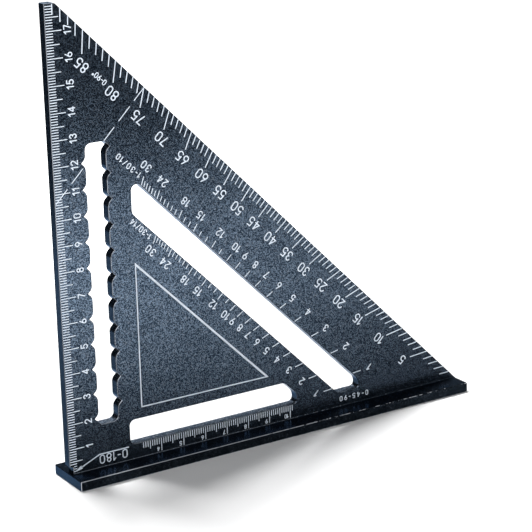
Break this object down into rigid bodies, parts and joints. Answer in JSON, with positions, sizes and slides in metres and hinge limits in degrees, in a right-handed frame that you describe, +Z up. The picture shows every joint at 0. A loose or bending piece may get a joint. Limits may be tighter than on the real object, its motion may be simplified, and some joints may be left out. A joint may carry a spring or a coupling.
{
  "type": "speed square",
  "caption": "Metric rafter square: slotted triangular blade standing on a T-shaped fence, with edge rule, degree, rafter pitch and slot scales in white.",
  "frame": {"origin": "middle of the fence's underside", "axes": "+X along the fence from the pivot corner, +Y from the marked face through the blade, +Z up the ruled edge"},
  "size_m": [0.1842, 0.0222, 0.1841],
  "materials": {
    "coated_aluminium": "dark blue-grey fine-textured coating",
    "white_marking": "thin white ink film"
  },
  "bodies": {
    "root": {"blade": "coated_aluminium", "fence": "coated_aluminium", "edge_rule_ticks": "white_marking", "edge_rule_numbers": "white_marking", "degree_ticks": "white_marking", "degree_numbers": "white_marking", "degree_label": "white_marking", "common_rafter_ticks": "white_marking", "common_rafter_numbers": "white_marking", "common_rafter_label": "white_marking", "hip_valley_ticks": "white_marking", "hip_valley_numbers": "white_marking", "hip_valley_label": "white_marking", "slot_rule_ticks": "white_marking", "slot_rule_numbers": "white_marking", "pivot_pointer": "white_marking", "pivot_label": "white_marking", "top_cut_label": "white_marking", "panel_outline": "white_marking", "reference_line": "white_marking"}
  },
  "joints": []
}
